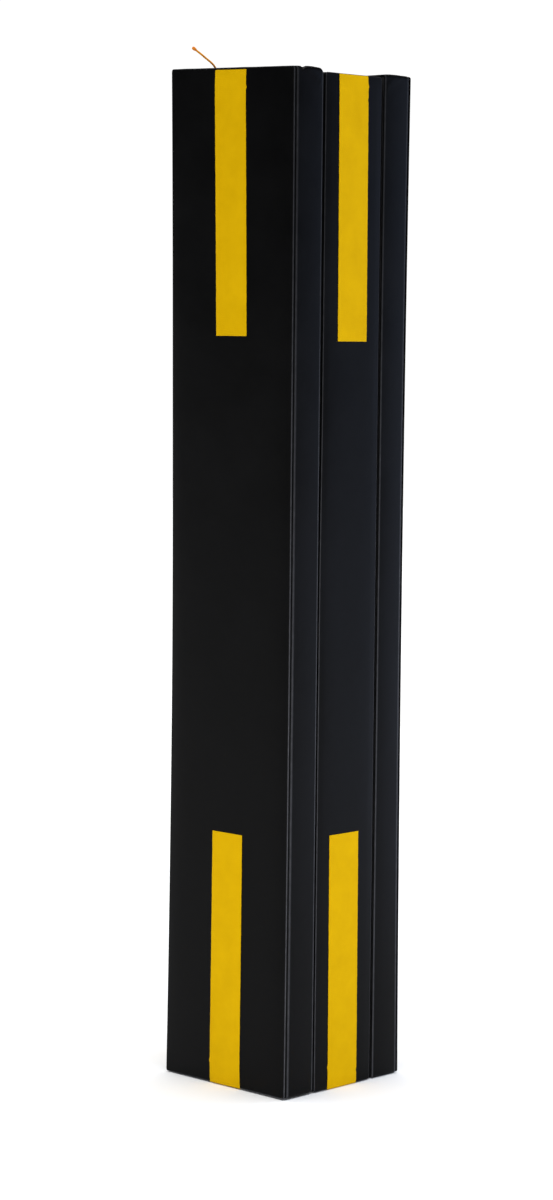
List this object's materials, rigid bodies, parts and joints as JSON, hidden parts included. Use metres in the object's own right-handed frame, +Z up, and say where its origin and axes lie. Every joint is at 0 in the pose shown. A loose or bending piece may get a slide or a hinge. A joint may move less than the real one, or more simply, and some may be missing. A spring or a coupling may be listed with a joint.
{
  "type": "padded post protector",
  "caption": "Square wrap-around padded guard for a post: foam pads in black vinyl covers, hinged on folded strips, with yellow marking strips and a hook and loop corner.",
  "frame": {"origin": "on the floor, in the middle of the post space", "axes": "+Z up along the post; the front pad faces -Y and the closing corner is at -X -Y"},
  "size_m": [0.2014, 0.2014, 1.2349],
  "materials": {
    "black_vinyl": "satin",
    "backing_vinyl": "matte",
    "foam": "matte",
    "yellow_tape": "matte",
    "hinge_vinyl": "satin",
    "hook_and_loop": "matte",
    "orange_cord": "matte",
    "melted_cord_end": "gloss"
  },
  "bodies": {
    "front_pad": {"front_pad_face_panel": "black_vinyl", "front_pad_edge_band": "black_vinyl", "front_pad_inner_panel": "backing_vinyl", "front_pad_foam_core": "foam", "front_pad_top_tape": "yellow_tape", "front_pad_bottom_tape": "yellow_tape", "hinge_strip_front_right": "hinge_vinyl", "closure_loop_strip": "hook_and_loop"},
    "right_pad": {"right_pad_face_panel": "black_vinyl", "right_pad_edge_band": "black_vinyl", "right_pad_inner_panel": "backing_vinyl", "right_pad_foam_core": "foam", "right_pad_top_tape": "yellow_tape", "right_pad_bottom_tape": "yellow_tape", "hinge_strip_right_back": "hinge_vinyl"},
    "back_pad": {"back_pad_face_panel": "black_vinyl", "back_pad_edge_band": "black_vinyl", "back_pad_inner_panel": "backing_vinyl", "back_pad_foam_core": "foam", "back_pad_top_tape": "yellow_tape", "back_pad_bottom_tape": "yellow_tape", "hinge_strip_back_left": "hinge_vinyl"},
    "left_pad": {"left_pad_face_panel": "black_vinyl", "left_pad_edge_band": "black_vinyl", "left_pad_inner_panel": "backing_vinyl", "left_pad_foam_core": "foam", "left_pad_top_tape": "yellow_tape", "left_pad_bottom_tape": "yellow_tape", "closure_hook_strip": "hook_and_loop", "pull_cord": "orange_cord", "pull_cord_knot": "melted_cord_end"}
  },
  "joints": [
    {"name": "front_right_hinge", "type": "hinge", "parent": "front_pad", "child": "right_pad", "pos_m": [0.1, -0.05, 0.6], "axis": [0, 0, 1], "range_deg": [-150, 0]},
    {"name": "right_back_hinge", "type": "hinge", "parent": "right_pad", "child": "back_pad", "pos_m": [0.1, 0.05, 0.6], "axis": [0, 0, 1], "range_deg": [-150, 0]},
    {"name": "back_left_hinge", "type": "hinge", "parent": "back_pad", "child": "left_pad", "pos_m": [-0.1, 0.05, 0.6], "axis": [0, 0, 1], "range_deg": [-150, 0]}
  ],
  "couplings": [
    {"joint": "back_left_hinge", "follows": "right_back_hinge", "ratio": 1}
  ]
}
